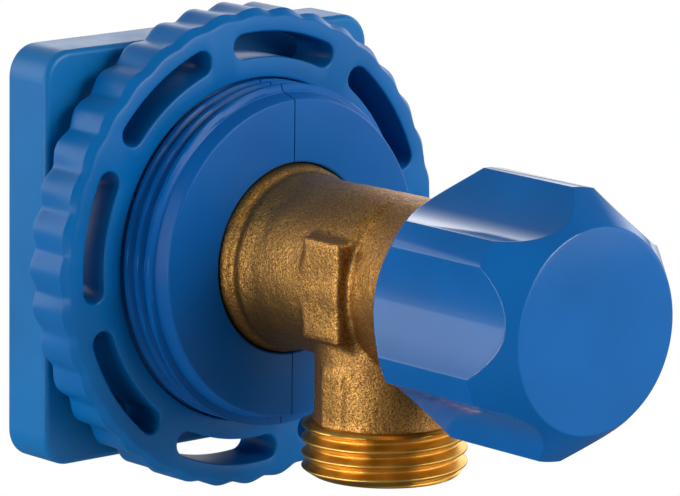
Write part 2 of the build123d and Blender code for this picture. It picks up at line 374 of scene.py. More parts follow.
class ThreadTree(ShapeTree):
    """Cuts a screw thread into a turned blank."""

    def __init__(self, form: ThreadForm, start: float, end: float) -> None:
        """Builds the tree.

        Args:
            form: The thread's form.
            start: Where the thread begins along the axis.
            end: Where it ends.
        """
        super().__init__("cut_thread")
        major = self.number("Major radius", form.major)
        depth = self.number("Thread depth", form.depth)
        pitch = self.number("Pitch", form.pitch)
        first = self.number("Start", start)
        last = self.number("End", end)
        flank = 1 - 2 * form.flat_share
        out_of_reach = 100.0

        def limit(x: Socket, y: Socket, z: Socket, radius: Socket) -> Socket:
            """Returns the thread's radius at the point's angle and height."""
            turn = self.math("DIVIDE", self.math("ARCTAN2", y, x), 2 * math.pi)
            phase = self.math("FRACT", self.math("SUBTRACT", self.math("DIVIDE", z, pitch), turn))
            away = self.math("ABSOLUTE", self.math("SUBTRACT", phase, 0.5))
            rise = self.math("SUBTRACT", self.math("MULTIPLY", away, 2.0), form.flat_share)
            height = self.math("MINIMUM", self.math("MAXIMUM", self.math("DIVIDE", rise, flank), 0.0), 1.0)
            smooth = self.math("SMOOTH_MIN", height, 1.0, form.crest_round)
            cut = self.math("MULTIPLY", self.math("SUBTRACT", 1.0, smooth), depth)
            ends = self.math("ADD", self.math("LESS_THAN", z, first), self.math("GREATER_THAN", z, last))
            spared = self.math("MULTIPLY", ends, out_of_reach)
            return self.math("ADD", self.math("SUBTRACT", major, cut), spared)

        self.move_radially(limit, form.soft)


@dataclass(frozen=True)
class CastForm:
    """Skin of a casting, with a shallow groove that leaves a rolled rim at the hub.

    Attributes:
        lump: Height of the broad unevenness and its size across.
        grain: Height of the grains and their size across.
        rim: From the hub's face to the middle of the groove.
        half: Half of the groove's width.
        depth: The groove's depth.
        inside: Radius below which the groove has no effect.
        outside: Radius from which it has its full depth.
    """

    lump: Pair
    grain: Pair
    rim: float
    half: float
    depth: float
    inside: float
    outside: float


class CastSkinTree(ShapeTree):
    """Roughens a surface along its normals, as sand does to a casting."""

    def __init__(self, form: CastForm, hub_front: float) -> None:
        """Builds the tree.

        Args:
            form: The skin's form.
            hub_front: Forward place of the hub's face.
        """
        super().__init__("cast_skin")
        rough = self.math("ADD", self.noise("Lump", *form.lump, 1.0), self.noise("Grain", *form.grain, 2.0))
        shift = self.node("ShaderNodeVectorMath", operation="SCALE")
        self.feed(shift.inputs[0], self.node("GeometryNodeInputNormal").outputs[0])
        self.feed(shift.inputs["Scale"], self.math("SUBTRACT", rough, self.sink(form, hub_front)))
        self.close("Offset", shift.outputs[0])

    def sink(self, form: CastForm, hub_front: float) -> Socket:
        """Adds the groove.

        Args:
            form: The skin's form.
            hub_front: Forward place of the hub's face.

        Returns:
            The groove's depth at each point.
        """
        x, y, z = self.position()
        middle = self.number("Groove forward", hub_front + form.rim)
        half = self.number("Groove half width", form.half)
        depth = self.number("Groove depth", form.depth)
        along = self.math("DIVIDE", self.math("ADD", y, middle), half)
        hollow = self.math("MAXIMUM", self.math("SUBTRACT", 1.0, self.math("MULTIPLY", along, along)), 0.0)
        outer = self.spread(self.radius_of(x, z), 0.0, 1.0, form.inside, form.outside)
        shape = self.math("MULTIPLY", outer, self.math("MULTIPLY", hollow, hollow))
        return self.math("MULTIPLY", depth, shape)

    def noise(self, name: str, height: float, size: float, detail: float) -> Socket:
        """Adds one layer of unevenness.

        Args:
            name: Start of the names of its inputs.
            height: Height from hollow to crest.
            size: Size across.
            detail: The noise's detail.

        Returns:
            The layer's height at each point.
        """
        tall = self.number(f"{name} height", height)
        wide = self.number(f"{name} size", size)
        made = self.node("ShaderNodeTexNoise")
        self.feed(made.inputs["Vector"], self.node("GeometryNodeInputPosition").outputs[0])
        self.feed(made.inputs["Scale"], self.math("DIVIDE", 1.0, wide))
        self.feed(made.inputs["Detail"], detail)
        return self.math("MULTIPLY", self.math("SUBTRACT", made.outputs[0], 0.5), tall)


def settle(obj: Object) -> None:
    """Turns an object's modifiers into its plain mesh.

    Args:
        obj: The object, which loses its modifiers.
    """
    bpy.context.view_layer.update()
    ready = obj.evaluated_get(bpy.context.evaluated_depsgraph_get())
    mesh = bpy.data.meshes.new_from_object(ready)
    obj.modifiers.clear()
    old = obj.data
    obj.data = mesh
    bpy.data.meshes.remove(old)
    mesh.name = obj.name


def new_object(name: str, bm: BMesh) -> Object:
    """Makes an object at the origin from a bmesh, which is freed.

    Args:
        name: The piece's name.
        bm: Its geometry.

    Returns:
        The new object.
    """
    bmesh.ops.remove_doubles(bm, verts=bm.verts, dist=FINE_WELD)
    bmesh.ops.recalc_face_normals(bm, faces=bm.faces)
    mesh = bpy.data.meshes.new(name)
    bm.to_mesh(mesh)
    bm.free()
    obj = bpy.data.objects.new(name, mesh)
    bpy.context.scene.collection.objects.link(obj)
    return obj


def place(obj: Object, matrix: Matrix, crease: float) -> None:
    """Moves a mesh from its millimetre frame into the row frame and sets its shading.

    Args:
        obj: The object, which itself stays at the origin.
        matrix: From the millimetre frame to the row frame, still in millimetres.
        crease: Angle in degrees above which an edge stays sharp.
    """
    obj.data.transform(Matrix.Scale(MM, 4) @ matrix)
    obj.data.shade_smooth()
    obj.data.set_sharp_from_angle(angle=math.radians(crease))


def dress(obj: Object, body: Body, slot: str, *nodes: str) -> None:
    """Seats a finished piece on its body.

    Args:
        obj: The piece.
        body: The body that it moves with.
        slot: The record's material slot. Not used.
        *nodes: The nodes that it stands for.
    """
    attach(obj, body.value)
    if nodes:
        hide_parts(*nodes)
    LOG.info("%s: %d faces on %s", obj.name, len(obj.data.polygons), body.value)


def span(node: str) -> Pair:
    """Returns the forward places, in millimetres, of a CAD node's back and front."""
    low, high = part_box(node)
    return -high.y / MM, -low.y / MM


def merged_copy(node: str, name: str) -> Object:
    """Copies a CAD node's mesh with its loose triangles joined.

    Args:
        node: The CAD node.
        name: The copy's name.

    Returns:
        The copy, in millimetres.
    """
    bm = bmesh.new()
    bm.from_mesh(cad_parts[node].data)
    bmesh.ops.transform(bm, matrix=Matrix.Scale(1 / MM, 4), verts=bm.verts)
    bmesh.ops.remove_doubles(bm, verts=bm.verts, dist=WELD)
    return new_object(name, bm)


@dataclass
class Lathe:
    """Turns outlines of (radius, forward) points about the lathe axis.

    Attributes:
        steps: Number of divisions round the axis.
    """

    steps: int

    @staticmethod
    def column(bm: BMesh, outline: Sequence[Pair], angle: float) -> list[BMVert]:
        """Adds an outline's points at one angle, in radians."""
        return [bm.verts.new((r * math.cos(angle), r * math.sin(angle), forward)) for r, forward in outline]

    def turn(self, bm: BMesh, outline: Sequence[Pair], closed: bool = True) -> None:
        """Adds a full turn of an outline.

        Args:
            bm: Receives the surface.
            outline: The points, in order.
            closed: True if the last point joins the first.
        """
        rings = [self.column(bm, outline, 2 * math.pi * step / self.steps) for step in range(self.steps)]
        self.skin(bm, rings + rings[:1], closed)

    def sector(self, bm: BMesh, outline: Sequence[Pair], side: float, gap: float) -> None:
        """Adds half a turn of a closed outline, with flat faces along the split.

        Args:
            bm: Receives the solid.
            outline: The points, in order.
            side: +1 for the half towards +X, -1 for the other.
            gap: Distance of the split face from the axis plane.
        """
        rings = []
        for column in range(self.steps + 1):
            swing = 2 * column / self.steps - 1
            ring = []
            for radius, forward in outline:
                angle = swing * (math.pi / 2 - math.asin(gap / radius))
                spot = (side * radius * math.cos(angle), radius * math.sin(angle), forward)
                ring.append(bm.verts.new(spot))
            rings.append(ring)
        self.skin(bm, rings, True)
        bm.faces.new(rings[0])
        bm.faces.new(reversed(rings[-1]))

    @staticmethod
    def skin(bm: BMesh, rings: Sequence[Sequence[BMVert]], closed: bool) -> None:
        """Joins neighbouring rows of points with faces.

        Args:
            bm: Receives the faces.
            rings: The rows, in order.
            closed: True if each row's last point joins its first.
        """
        count = len(rings[0])
        last = count if closed else count - 1
        for here, there in zip(rings, rings[1:]):
            for row in range(last):
                following = (row + 1) % count
                bm.faces.new((here[row], there[row], there[following], here[following]))


def arc(centre: Pair, radius: float, start: float, end: float, steps: int) -> list[Pair]:
    """Points of an arc in an outline.

    Args:
        centre: Its centre as (radius, forward).
        radius: Its radius.
        start: First angle in degrees, from the radial direction towards forward.
        end: Last angle.
        steps: Number of divisions.

    Returns:
        The points, both ends included.
    """
    points = []
    for index in range(steps + 1):
        angle = math.radians(start + (end - start) * index / steps)
        points.append((centre[0] + radius * math.cos(angle), centre[1] + radius * math.sin(angle)))
    return points


def soft_corner(corner: Pair, radius: float, start: float, end: float, steps: int) -> list[Pair]:
    """Points of a rounded corner in an outline.

    Args:
        corner: The sharp corner as (radius, forward).
        radius: Radius of the rounding.
        start: Angle of the normal before the corner, in degrees.
        end: Angle of the normal after it.
        steps: Number of divisions.

    Returns:
        The points, both ends included.
    """
    middle, half = math.radians((start + end) / 2), math.radians((end - start) / 2)
    reach = radius / math.cos(half)
    centre = (corner[0] - reach * math.cos(middle), corner[1] - reach * math.sin(middle))
    return arc(centre, radius, start, end, steps)


def fill(start: Pair, end: Pair, steps: int) -> list[Pair]:
    """Evenly spaced points of a straight stretch, both ends included."""
    across, along = end[0] - start[0], end[1] - start[1]
    shares = [index / steps for index in range(steps + 1)]
    return [(start[0] + across * share, start[1] + along * share) for share in shares]


class Surface(TreeWriter):
    """Material with a Principled shader and patterns on Object coordinates in millimetres."""

    def __init__(self, name: str) -> None:
        """Starts an empty material."""
        self.material = bpy.data.materials.new(name)
        self.material.use_nodes = True
        super().__init__(self.material.node_tree)
        self.shader = self.tree.nodes["Principled BSDF"]
        scaled = self.node("ShaderNodeMapping")
        scaled.inputs["Scale"].default_value = (1 / MM, 1 / MM, 1 / MM)
        self.feed(scaled.inputs["Vector"], self.node("ShaderNodeTexCoord").outputs["Object"])
        self.place = scaled.outputs[0]

    def set(self, **values: object) -> None:
        """Sets shader sockets, with an underscore for each space in a socket's name."""
        for key, value in values.items():
            self.feed(self.shader.inputs[key.replace("_", " ")], value)

    def noise(self, size: float, detail: float = 2.0, roughness: float = 0.5) -> Socket:
        """Adds noise.

        Args:
            size: Its size across, in millimetres.
            detail: The node's detail.
            roughness: The node's roughness.

        Returns:
            The noise's height.
        """
        made = self.node("ShaderNodeTexNoise")
        values = {"Vector": self.place, "Scale": 1 / size, "Detail": detail, "Roughness": roughness}
        for key, value in values.items():
            self.feed(made.inputs[key], value)
        return made.outputs[0]

    def ramp(self, value: Socket, *stops: tuple[float, Triple]) -> Socket:
        """Adds a colour ramp.

        Args:
            value: Where on the ramp each point lies.
            *stops: Places and linear colours, two of them.

        Returns:
            The colour.
        """
        made = self.node("ShaderNodeValToRGB")
        for element, (where, colour) in zip(made.color_ramp.elements, stops):
            element.position = where
            element.color = (*colour, 1)
        self.feed(made.inputs[0], value)
        return made.outputs[0]

    def bump(self, *layers: tuple[Socket, float, float]) -> None:
        """Adds bump layers.

        Args:
            *layers: The height, the depth in millimetres and the strength of each.
        """
        normal = None
        for height, depth, strength in layers:
            made = self.node("ShaderNodeBump")
            made.inputs["Strength"].default_value = strength
            made.inputs["Distance"].default_value = depth * MM
            self.feed(made.inputs["Height"], height)
            if normal is not None:
                self.feed(made.inputs["Normal"], normal)
            normal = made.outputs[0]
        self.set(Normal=normal)

    def mix(self, share: Socket, first: Node, second: Node) -> Node:
        """Mixes two shaders.

        Args:
            share: 0 for the first alone, 1 for the second alone.
            first: One shader.
            second: The other.

        Returns:
            The mixing node.
        """
        made = self.node("ShaderNodeMixShader")
        for target, value in zip(made.inputs, (share, first.outputs[0], second.outputs[0])):
            self.feed(target, value)
        return made


def tint(colour: Triple, factor: float) -> Triple:
    """Returns a colour made lighter or darker by a factor."""
    return tuple(min(channel * factor, 1.0) for channel in colour)


@dataclass(frozen=True)
class MouldedPlastic:
    """Coloured plastic from a mould, with a faint skin texture and flow marks.

    Attributes:
        name: The material's name.
        colour: Linear base colour.
        roughness: Roughness of the skin.
        skin_depth: Depth of the skin texture, in millimetres.
        specular: Specular level.
        flow_size: Size of the flow marks, in millimetres.
        patch_size: Size of the patches of different roughness.
        skin_size: Size of the skin texture.
    """

    name: str
    colour: Triple
    roughness: float
    skin_depth: float
    specular: float
    flow_size: float = 14.0
    patch_size: float = 5.0
    skin_size: float = 0.35

    def build(self) -> Material:
        """Returns the material."""
        surface = Surface(self.name)
        flow = surface.noise(self.flow_size)
        shade = surface.ramp(flow, (0.35, tint(self.colour, 0.93)), (0.65, tint(self.colour, 1.07)))
        patches = surface.noise(self.patch_size, 3.0)
        rough = surface.spread(patches, self.roughness * 0.9, self.roughness * 1.12)
        surface.set(Base_Color=shade, Roughness=rough, Specular_IOR_Level=self.specular)
        surface.bump((surface.noise(self.skin_size), self.skin_depth, 0.5), (flow, self.skin_depth * 2, 0.3))
        return surface.material


@dataclass(frozen=True)
class CastBrass:
    """Sand-cast brass: grains that catch the light, with a brown skin in the hollows between them.

    Attributes:
        name: The material's name.
        bright: Linear colour of the grain tops.
        dull: Linear colour of the hollows.
        stain: Linear colour of the broad brown patches.
        grain: Size of the grains, in millimetres.
        lump: Size of the coarser lumps.
        patch: Size of the patches.
        stain_share: Share of the stain in the darkest patches.
        roughness: Roughness of the hollows and of the grain tops.
    """

    name: str
    bright: Triple
    dull: Triple
    stain: Triple
    grain: float = 0.22
    lump: float = 0.572
    patch: float = 7.0
    stain_share: float = 0.55
    roughness: Pair = (0.55, 0.34)

    def build(self) -> Material:
        """Returns the material."""
        surface = Surface(self.name)
        grains = surface.noise(self.grain, 3.0, 0.6)
        lumps = surface.noise(self.lump)
        patches = surface.noise(self.patch, 3.0)
        metal = surface.ramp(grains, (0.38, self.dull), (0.6, self.bright))
        mixed = surface.node("ShaderNodeMix", data_type="RGBA")
        surface.feed(mixed.inputs[0], surface.spread(patches, 0.0, self.stain_share))
        surface.feed(mixed.inputs[6], metal)
        surface.feed(mixed.inputs[7], (*self.stain, 1))
        surface.set(Base_Color=mixed.outputs[2], Metallic=1.0)
        surface.set(Roughness=surface.spread(grains, *self.roughness))
        surface.bump((lumps, 0.12, 0.55), (grains, 0.09, 0.8))
        return surface.material


@dataclass(frozen=True)
class PlainFinish:
    """Even finish with soft patches and a fine grain: rubber, white plastic, spring steel or cut brass.

    Attributes:
        name: The material's name.
        colour: Linear base colour.
        roughness: Its roughness.
        metallic: 1 for metal, 0 for the rest.
        grain: Size of the grain or spacing of the tool lines, in millimetres.
        patch: Size of the patches, in millimetres.
        tints: Darkest and lightest patch, as factors of the colour.
        wear: Smoothest and roughest patch, as factors of the roughness.
        relief: Strength of the grain.
    """

    name: str
    colour: Triple
    roughness: float
    metallic: float = 0.0
    grain: float = 0.2
    patch: float = 2.0
    tints: Pair = (0.85, 1.12)
    wear: Pair = (0.9, 1.1)
    relief: float = 0.3

    def build(self) -> Material:
        """Returns the material."""
        surface = Surface(self.name)
        patches = surface.noise(self.patch, 3.0)
        dark, light = (tint(self.colour, factor) for factor in self.tints)
        smooth, rough = (self.roughness * factor for factor in self.wear)
        surface.set(Base_Color=surface.ramp(patches, (0.3, dark), (0.7, light)), Metallic=self.metallic)
        surface.set(Roughness=surface.spread(patches, smooth, rough))
        surface.bump((surface.noise(self.grain, 1.0), 0.01, self.relief))
        return surface.material


class CutBrass(PlainFinish):
    """Brass cut on a lathe, with faint tool lines."""

    def __init__(self, name: str, colour: Triple, roughness: float, line: float) -> None:
        """Sets what all cut brass shares.

        Args:
            name: The material's name.
            colour: Linear base colour.
            roughness: Roughness of the cut.
            line: Spacing of the tool lines, in millimetres.
        """
        super().__init__(name, colour, roughness, 1.0, line, 3.0, (0.82, 1.1), (0.8, 1.25), 0.4)


class Finishes:
    """Builds each material once."""

    def __init__(self) -> None:
        """Makes all the materials of the object."""
        self.plate = MouldedPlastic("plate_plastic", (0.0005, 0.14, 0.395), 0.36, 0.01, 0.26).build()
        self.ring = MouldedPlastic("ring_plastic", (0.0005, 0.117, 0.365), 0.33, 0.01, 0.2).build()
        self.hub = MouldedPlastic("hub_plastic", (0.0005, 0.09, 0.33), 0.32, 0.01, 0.16).build()
        self.knob = MouldedPlastic("knob_plastic", (0.0005, 0.108, 0.37), 0.1, 0.002, 0.36).build()
        cast = CastBrass("cast_brass", (0.78, 0.415, 0.1), (0.22, 0.1, 0.03), (0.33, 0.165, 0.065))
        self.cast = cast.build()
        self.cut = CutBrass("cut_brass", (0.88, 0.5, 0.1), 0.34, 0.12).build()
        self.turned = CutBrass("turned_brass", (0.74, 0.50, 0.18), 0.3, 0.2).build()
        self.rubber = PlainFinish("seal_rubber", (0.02, 0.02, 0.02), 0.7).build()
        self.white = PlainFinish("insert_plastic", (0.75, 0.75, 0.72), 0.45).build()
        self.steel = PlainFinish("clip_steel", (0.5, 0.5, 0.52), 0.35, 1.0).build()


@dataclass
class Knob:
    """Fluted knob: a turned shell with six flutes, a boss and ribs inside.

    Attributes:
        ridge: Radius of the ridges between the flutes.
        flutes: Form of the flutes.
        face: Radius of the front face.
        cone_length: Length of the front cone.
        dome: Height of the domed front face.
        dome_foot: Angle of the normal where the dome begins, in degrees.
        dome_shares: Places of the dome's rows, as shares of its radius.
        bevel_radial: Rear bevel, across the axis.
        bevel_length: Rear bevel, along the axis.
        rear_lip: How far the rear bevel reaches back past the CAD knob.
        edge: Rounding of the turned edges.
        fillet: Rounding at the bottom of the hollow.
        round_steps: Divisions of a rounded edge.
        bevel_steps: Divisions of the rear bevel.
        cone_steps: Divisions of the front cone.
        cavity: Radius of the hollow.
        front_wall: Thickness of the front wall.
        boss_outer: Outer radius of the boss.
        boss_inner: Bore of the boss.
        boss_length: Length of the boss.
        rib: Thickness of a rib.
        rib_length: Length of a rib.
        rib_bite: How far a rib reaches into the boss and into the shell.
        crease: Angle above which an edge stays sharp, in degrees.
    """

    ridge: float = 16.85
    flutes: FluteForm = FluteForm(6, 13.8, 15.0, 82.0, 0.2)
    face: float = 12.77
    cone_length: float = 5.2
    dome: float = 0.25
    dome_foot: float = 88.0
    dome_shares: Sequence[float] = tuple(np.linspace(0.97, 0.0, 12))
    bevel_radial: float = 3.1
    bevel_length: float = 3.8
    rear_lip: float = 1.45
    edge: float = 0.35
    fillet: float = 1.0
    round_steps: int = 4
    bevel_steps: int = 24
    cone_steps: int = 36
    cavity: float = 12.7
    front_wall: float = 2.4
    boss_outer: float = 7.8
    boss_inner: float = 5.7
    boss_length: float = 8.9
    rib: float = 1.4
    rib_length: float = 8.0
    rib_bite: float = 0.3
    crease: float = 50.0
    lathe: Lathe = field(default_factory=lambda: Lathe(900))
    boss_lathe: Lathe = field(default_factory=lambda: Lathe(72))

    def outline(self, back: float, front: float) -> list[Pair]:
        """Draws the half section, from the inside of the front wall round to the front centre.

        Args:
            back: Forward place of the knob's back.
            front: Forward place of its front.

        Returns:
            The points, in order.
        """
        inner, face_rim, steps = front - self.front_wall, front - self.dome, self.round_steps
        bevel = math.degrees(math.atan2(self.bevel_radial, self.bevel_length))
        cone = math.degrees(math.atan2(self.ridge - self.face, self.cone_length))
        points = [(NEAR_AXIS, inner)]
        points += arc((self.cavity - self.fillet, inner - self.fillet), self.fillet, 90, 0, steps + 1)
        points += soft_corner((self.cavity, back), self.edge, 180, 270, steps)
        rear = soft_corner((self.ridge - self.bevel_radial, back), self.edge, 270, 360 - bevel, steps)
        shoulder = soft_corner((self.ridge, back + self.bevel_length), self.edge, -bevel, 0, steps)
        points += rear + fill(rear[-1], shoulder[0], self.bevel_steps)[1:-1] + shoulder
        brow = soft_corner((self.ridge, face_rim - self.cone_length), self.edge, 0, cone, steps)
        rim = soft_corner((self.face, face_rim), self.edge, cone, self.dome_foot, steps + 1)
        points += brow + fill(brow[-1], rim[0], self.cone_steps)[1:-1] + rim
        radius, foot = rim[-1]
        for share in self.dome_shares:
            points.append((max(radius * share, NEAR_AXIS), foot + (front - foot) * (1 - share * share)))
        return points

    def build(self, finishes: Finishes) -> None:
        """Builds the knob and puts it on the handle.

        Args:
            finishes: The object's materials.
        """
        back, front = span("knob")
        bm = bmesh.new()
        self.lathe.turn(bm, self.outline(back - self.rear_lip, front), closed=False)
        obj = new_object("knob_shell", bm)
        FluteTree(self.flutes).run(obj, finishes.knob)
        self.add_inside(obj, front - self.front_wall)
        place(obj, LATHE_TO_ROW, self.crease)
        dress(obj, Body.HANDLE, "knob_plastic", "knob")

    def add_inside(self, obj: Object, inner: float) -> None:
        """Adds the boss and its ribs to the shell's mesh.

        Args:
            obj: The shell.
            inner: Forward place of the front wall's inside.
        """
        bm = bmesh.new()
        bm.from_mesh(obj.data)
        end = inner - self.boss_length
        bore = [(self.boss_inner, inner), (self.boss_inner, end)]
        self.boss_lathe.turn(bm, bore + [(self.boss_outer, end), (self.boss_outer, inner)])
        first, last = self.boss_outer - self.rib_bite, self.cavity + self.rib_bite
        size = Matrix.Diagonal((last - first, self.rib, self.rib_length, 1))
        spot = Matrix.Translation(((first + last) / 2, 0, inner - self.rib_length / 2))
        for index in range(self.flutes.count):
            angle = math.radians(self.flutes.turn + index * 360 / self.flutes.count)
            bmesh.ops.create_cube(bm, size=1, matrix=Matrix.Rotation(angle, 4, "Z") @ spot @ size)
        bm.to_mesh(obj.data)
        bm.free()


@dataclass
class RingNut:
    """Lobed ring nut with arc slots.

    Attributes:
        crest: Radius of the lobes.
        lobes: Form of the lobes.
        bevel: Bevel of the front rim.
        edge: Rounding of the other edges.
        bore: Radius of the bore.
        row_gap: Distance of the rim's first rows from the bevel's ends.
        back_land: Width of the flat row at the rim's back.
        slot_count: Number of slots.
        slot_middle: Radius of the slots' centre line.
        slot_width: Width of a slot.
        slot_sweep: Angle between the centres of a slot's round ends.
        slot_turn: Angle of one slot's middle.
        end_steps: Divisions of a slot's round end.
        body_steps: Divisions of the stretch between round ends.
        bridge_points: Points on the bridge between two slots.
        round_steps: Divisions of a rounded edge.
        bevel_steps: Divisions of the bevel.
        rim_steps: Divisions of the rim, along the axis.
        crease: Angle above which an edge stays sharp, in degrees.
    """

    crest: float = 31.0
    lobes: LobeForm = LobeForm(36, 0.85, 0.68, 29.4, 30.95, 0.5)
    bevel: float = 1.1
    edge: float = 0.3
    bore: float = 22.1
    row_gap: float = 0.2
    back_land: float = 1.2
    slot_count: int = 8
    slot_middle: float = 26.4
    slot_width: float = 3.25
    slot_sweep: float = 29.5
    slot_turn: float = 35.0
    end_steps: int = 14
    body_steps: int = 56
    bridge_points: int = 12
    round_steps: int = 4
    bevel_steps: int = 6
    rim_steps: int = 8
    crease: float = 40.0

    def angles(self) -> list[float]:
        """Returns angles round the ring, close together at the round ends of the slots."""
        reach = math.degrees((self.slot_width / 2 + self.edge) / self.slot_middle)
        period = 360 / self.slot_count
        half = self.slot_sweep / 2
        shares = [math.sin(math.pi / 2 * step / self.end_steps) for step in range(1, self.end_steps + 1)]
        local = list(np.linspace(-half, half, self.body_steps + 1))
        local += [half + reach * share for share in shares]
        local += list(np.linspace(half + reach, period - half - reach, self.bridge_points))[1:-1]
        local += [period - half - reach * share for share in reversed(shares)]
        return [self.slot_turn + slot * period + angle for slot in range(self.slot_count) for angle in local]

    def slot_half(self, angle: float, grow: float) -> Pair:
        """Half height of a slot at an angle, and how far the angle lies past the slot's end.

        Args:
            angle: The angle, in degrees.
            grow: How much the slot is widened all round.

        Returns:
            The half height (0 past the end) and the distance past the slot's own end (0 inside).
        """
        period = 360 / self.slot_count
        local = (angle - self.slot_turn + period / 2) % period - period / 2
        past = math.radians(max(abs(local) - self.slot_sweep / 2, 0.0)) * self.slot_middle
        half = self.slot_width / 2 + grow
        height = math.sqrt(max(half * half - past * past, 0.0))
        return height, max(past - self.slot_width / 2, 0.0)

    def lip(self, angle: float, sign: float, back: float, front: float) -> list[Pair]:
        """Rows of a slot's edge, from the front face over the rounding down to the back face.

        Args:
            angle: The angle, in degrees.
            sign: -1 for the inner side of the slot, +1 for the outer side.
            back: Forward place of the back face.
            front: Forward place of the front face.

        Returns:
            Points as (radius, forward).
        """
        rows = []
        for step in range(self.round_steps + 1):
            turn = math.pi / 2 * step / self.round_steps
            grow = self.edge * (1 - math.sin(turn))
            height, past = self.slot_half(angle, grow)
            offset = min(max(grow, past), self.edge)
            depth = self.edge - math.sqrt(max(self.edge**2 - (self.edge - offset) ** 2, 0.0))
            rows.append((self.slot_middle + sign * height, depth))
        points = [(radius, front - depth) for radius, depth in rows]
        return points + [(radius, back + depth) for radius, depth in reversed(rows)]

    def bore_rows(self, back: float, front: float) -> list[Pair]:
        """Returns the rows of the bore, from its back edge to its front edge."""
        middle, edge = self.bore + self.edge, self.edge
        rows = arc((middle, back + edge), edge, 270, 180, self.round_steps)
        return rows + arc((middle, front - edge), edge, 180, 90, self.round_steps)

    def rim_rows(self, back: float, front: float) -> list[Pair]:
        """Draws the rim.

        Args:
            back: Forward place of the back face.
            front: Forward place of the front face.

        Returns:
            Its rows, from the back face to the front face.
        """
        crest, edge, inset = self.crest, self.edge, self.crest - self.bevel
        rim = [(inset - edge * 1.5, front), (inset, front - edge * 0.35)]
        brow = (inset + self.row_gap, front - edge * 0.5)
        rim += fill(brow, (crest, front - self.bevel), self.bevel_steps)
        rim += fill((crest, front - self.bevel - self.row_gap), (crest, back + edge), self.rim_steps)
        rim += arc((crest - edge, back + edge), edge, 0, -90, self.round_steps)[1:]
        rim.append((crest - self.back_land, back))
        return rim[::-1]

    def build(self, finishes: Finishes) -> None:
        """Builds the ring and puts it on its body.

        Args:
            finishes: The object's materials.
        """
        back, front = span("ring_nut")
        bm = bmesh.new()
        for sign, rows in ((-1, self.bore_rows(back, front)), (1, self.rim_rows(back, front))):
            strip = []
            for angle in self.angles():
                section = rows + self.lip(angle, sign, back, front)
                strip.append(Lathe.column(bm, section, math.radians(angle)))
            Lathe.skin(bm, strip + strip[:1], True)
        bmesh.ops.remove_doubles(bm, verts=bm.verts, dist=WELD)
        self.drop_inner_walls(bm)
        obj = new_object("ring_nut_lobed", bm)
        LobeTree(self.lobes, back, front).run(obj, finishes.ring)
        place(obj, LATHE_TO_ROW, self.crease)
        dress(obj, Body.RING, "ring_plastic", "ring_nut")

    @staticmethod
    def drop_inner_walls(bm: BMesh) -> None:
        """Deletes the doubled walls where the two strips meet between the slots.

        Args:
            bm: The ring.
        """
        seen: dict[frozenset[int], BMFace] = {}
        spare = set()
        bm.verts.index_update()
        for face in bm.faces:
            key = frozenset(vert.index for vert in face.verts)
            if key in seen:
                spare.update((face, seen[key]))
            seen[key] = face
        bmesh.ops.delete(bm, geom=list(spare), context="FACES")


